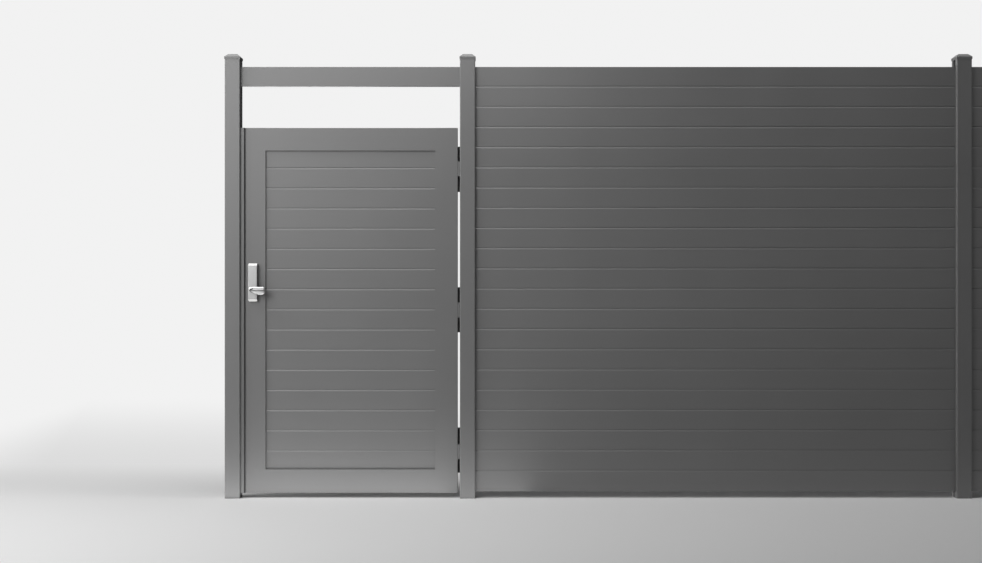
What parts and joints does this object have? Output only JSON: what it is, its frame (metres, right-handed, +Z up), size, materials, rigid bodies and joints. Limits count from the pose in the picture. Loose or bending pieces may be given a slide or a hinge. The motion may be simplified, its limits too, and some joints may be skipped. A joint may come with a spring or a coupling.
{
  "type": "boarded metal privacy gate with adjoining fence bays",
  "caption": "Boarded privacy gate leaf between square capped posts under a header rail, with a lever lock, three-knuckle hinges and matching fence bays beside it.",
  "frame": {"origin": "centre of the hinge post's foot", "axes": "+X from the latch post towards the fence, +Y away from the viewer, the way the leaf opens, +Z up"},
  "size_m": [6.14, 0.181, 2.194],
  "materials": {
    "post_coat": "anthracite satin powder coat",
    "board_coat": "anthracite satin powder coat",
    "leaf_coat": "anthracite satin powder coat",
    "hinge_black": "black satin powder coat",
    "pin_steel": "plain stainless steel",
    "lock_nickel": "satin nickel, brushed upright",
    "lever_nickel": "satin nickel, polished finer than the case",
    "plate_steel": "stainless steel",
    "seal_rubber": "matt black rubber",
    "block_plastic": "black moulded plastic"
  },
  "bodies": {
    "fixed_frame": {"latch_post": "post_coat", "hinge_post": "post_coat", "line_post": "post_coat", "end_post": "post_coat", "latch_post_cap": "post_coat", "hinge_post_cap": "post_coat", "line_post_cap": "post_coat", "end_post_cap": "post_coat", "latch_slot_filler": "post_coat", "hinge_slot_filler": "post_coat", "stop_profile": "post_coat", "fence_panel_near": "board_coat", "fence_panel_far": "board_coat", "header_rail": "board_coat", "hinge_bracket_low": "hinge_black", "hinge_bracket_mid": "hinge_black", "hinge_bracket_top": "hinge_black", "hinge_pin_low": "pin_steel", "hinge_pin_mid": "pin_steel", "hinge_pin_top": "pin_steel", "strike_plate": "plate_steel", "stop_seal": "seal_rubber", "rest_blocks_near": "block_plastic", "rest_blocks_far": "block_plastic"},
    "gate_leaf": {"latch_stile": "leaf_coat", "hinge_stile": "leaf_coat", "top_rail": "leaf_coat", "bottom_rail": "leaf_coat", "stile_end_plates": "leaf_coat", "infill_boards": "board_coat", "leaf_hinge_low": "leaf_coat", "leaf_hinge_mid": "leaf_coat", "leaf_hinge_top": "leaf_coat", "lock_case_front": "lock_nickel", "lock_case_rear": "lock_nickel", "lock_faceplate": "plate_steel"},
    "lever_set": {"lever_front": "lever_nickel", "lever_rear": "lever_nickel", "lever_spindle": "pin_steel"}
  },
  "joints": [
    {"name": "gate_swing", "type": "hinge", "parent": "fixed_frame", "child": "gate_leaf", "pos_m": [-0.04325, 0.044, 0.928], "axis": [0, 0, -1], "range_deg": [0, 105]},
    {"name": "lever_turn", "type": "hinge", "parent": "gate_leaf", "child": "lever_set", "pos_m": [-1.059, 0.01, 1.027], "axis": [0, 1, 0], "range_deg": [0, 45], "stiffness_Nm_per_rad": 1, "springref_deg": -20.05}
  ]
}
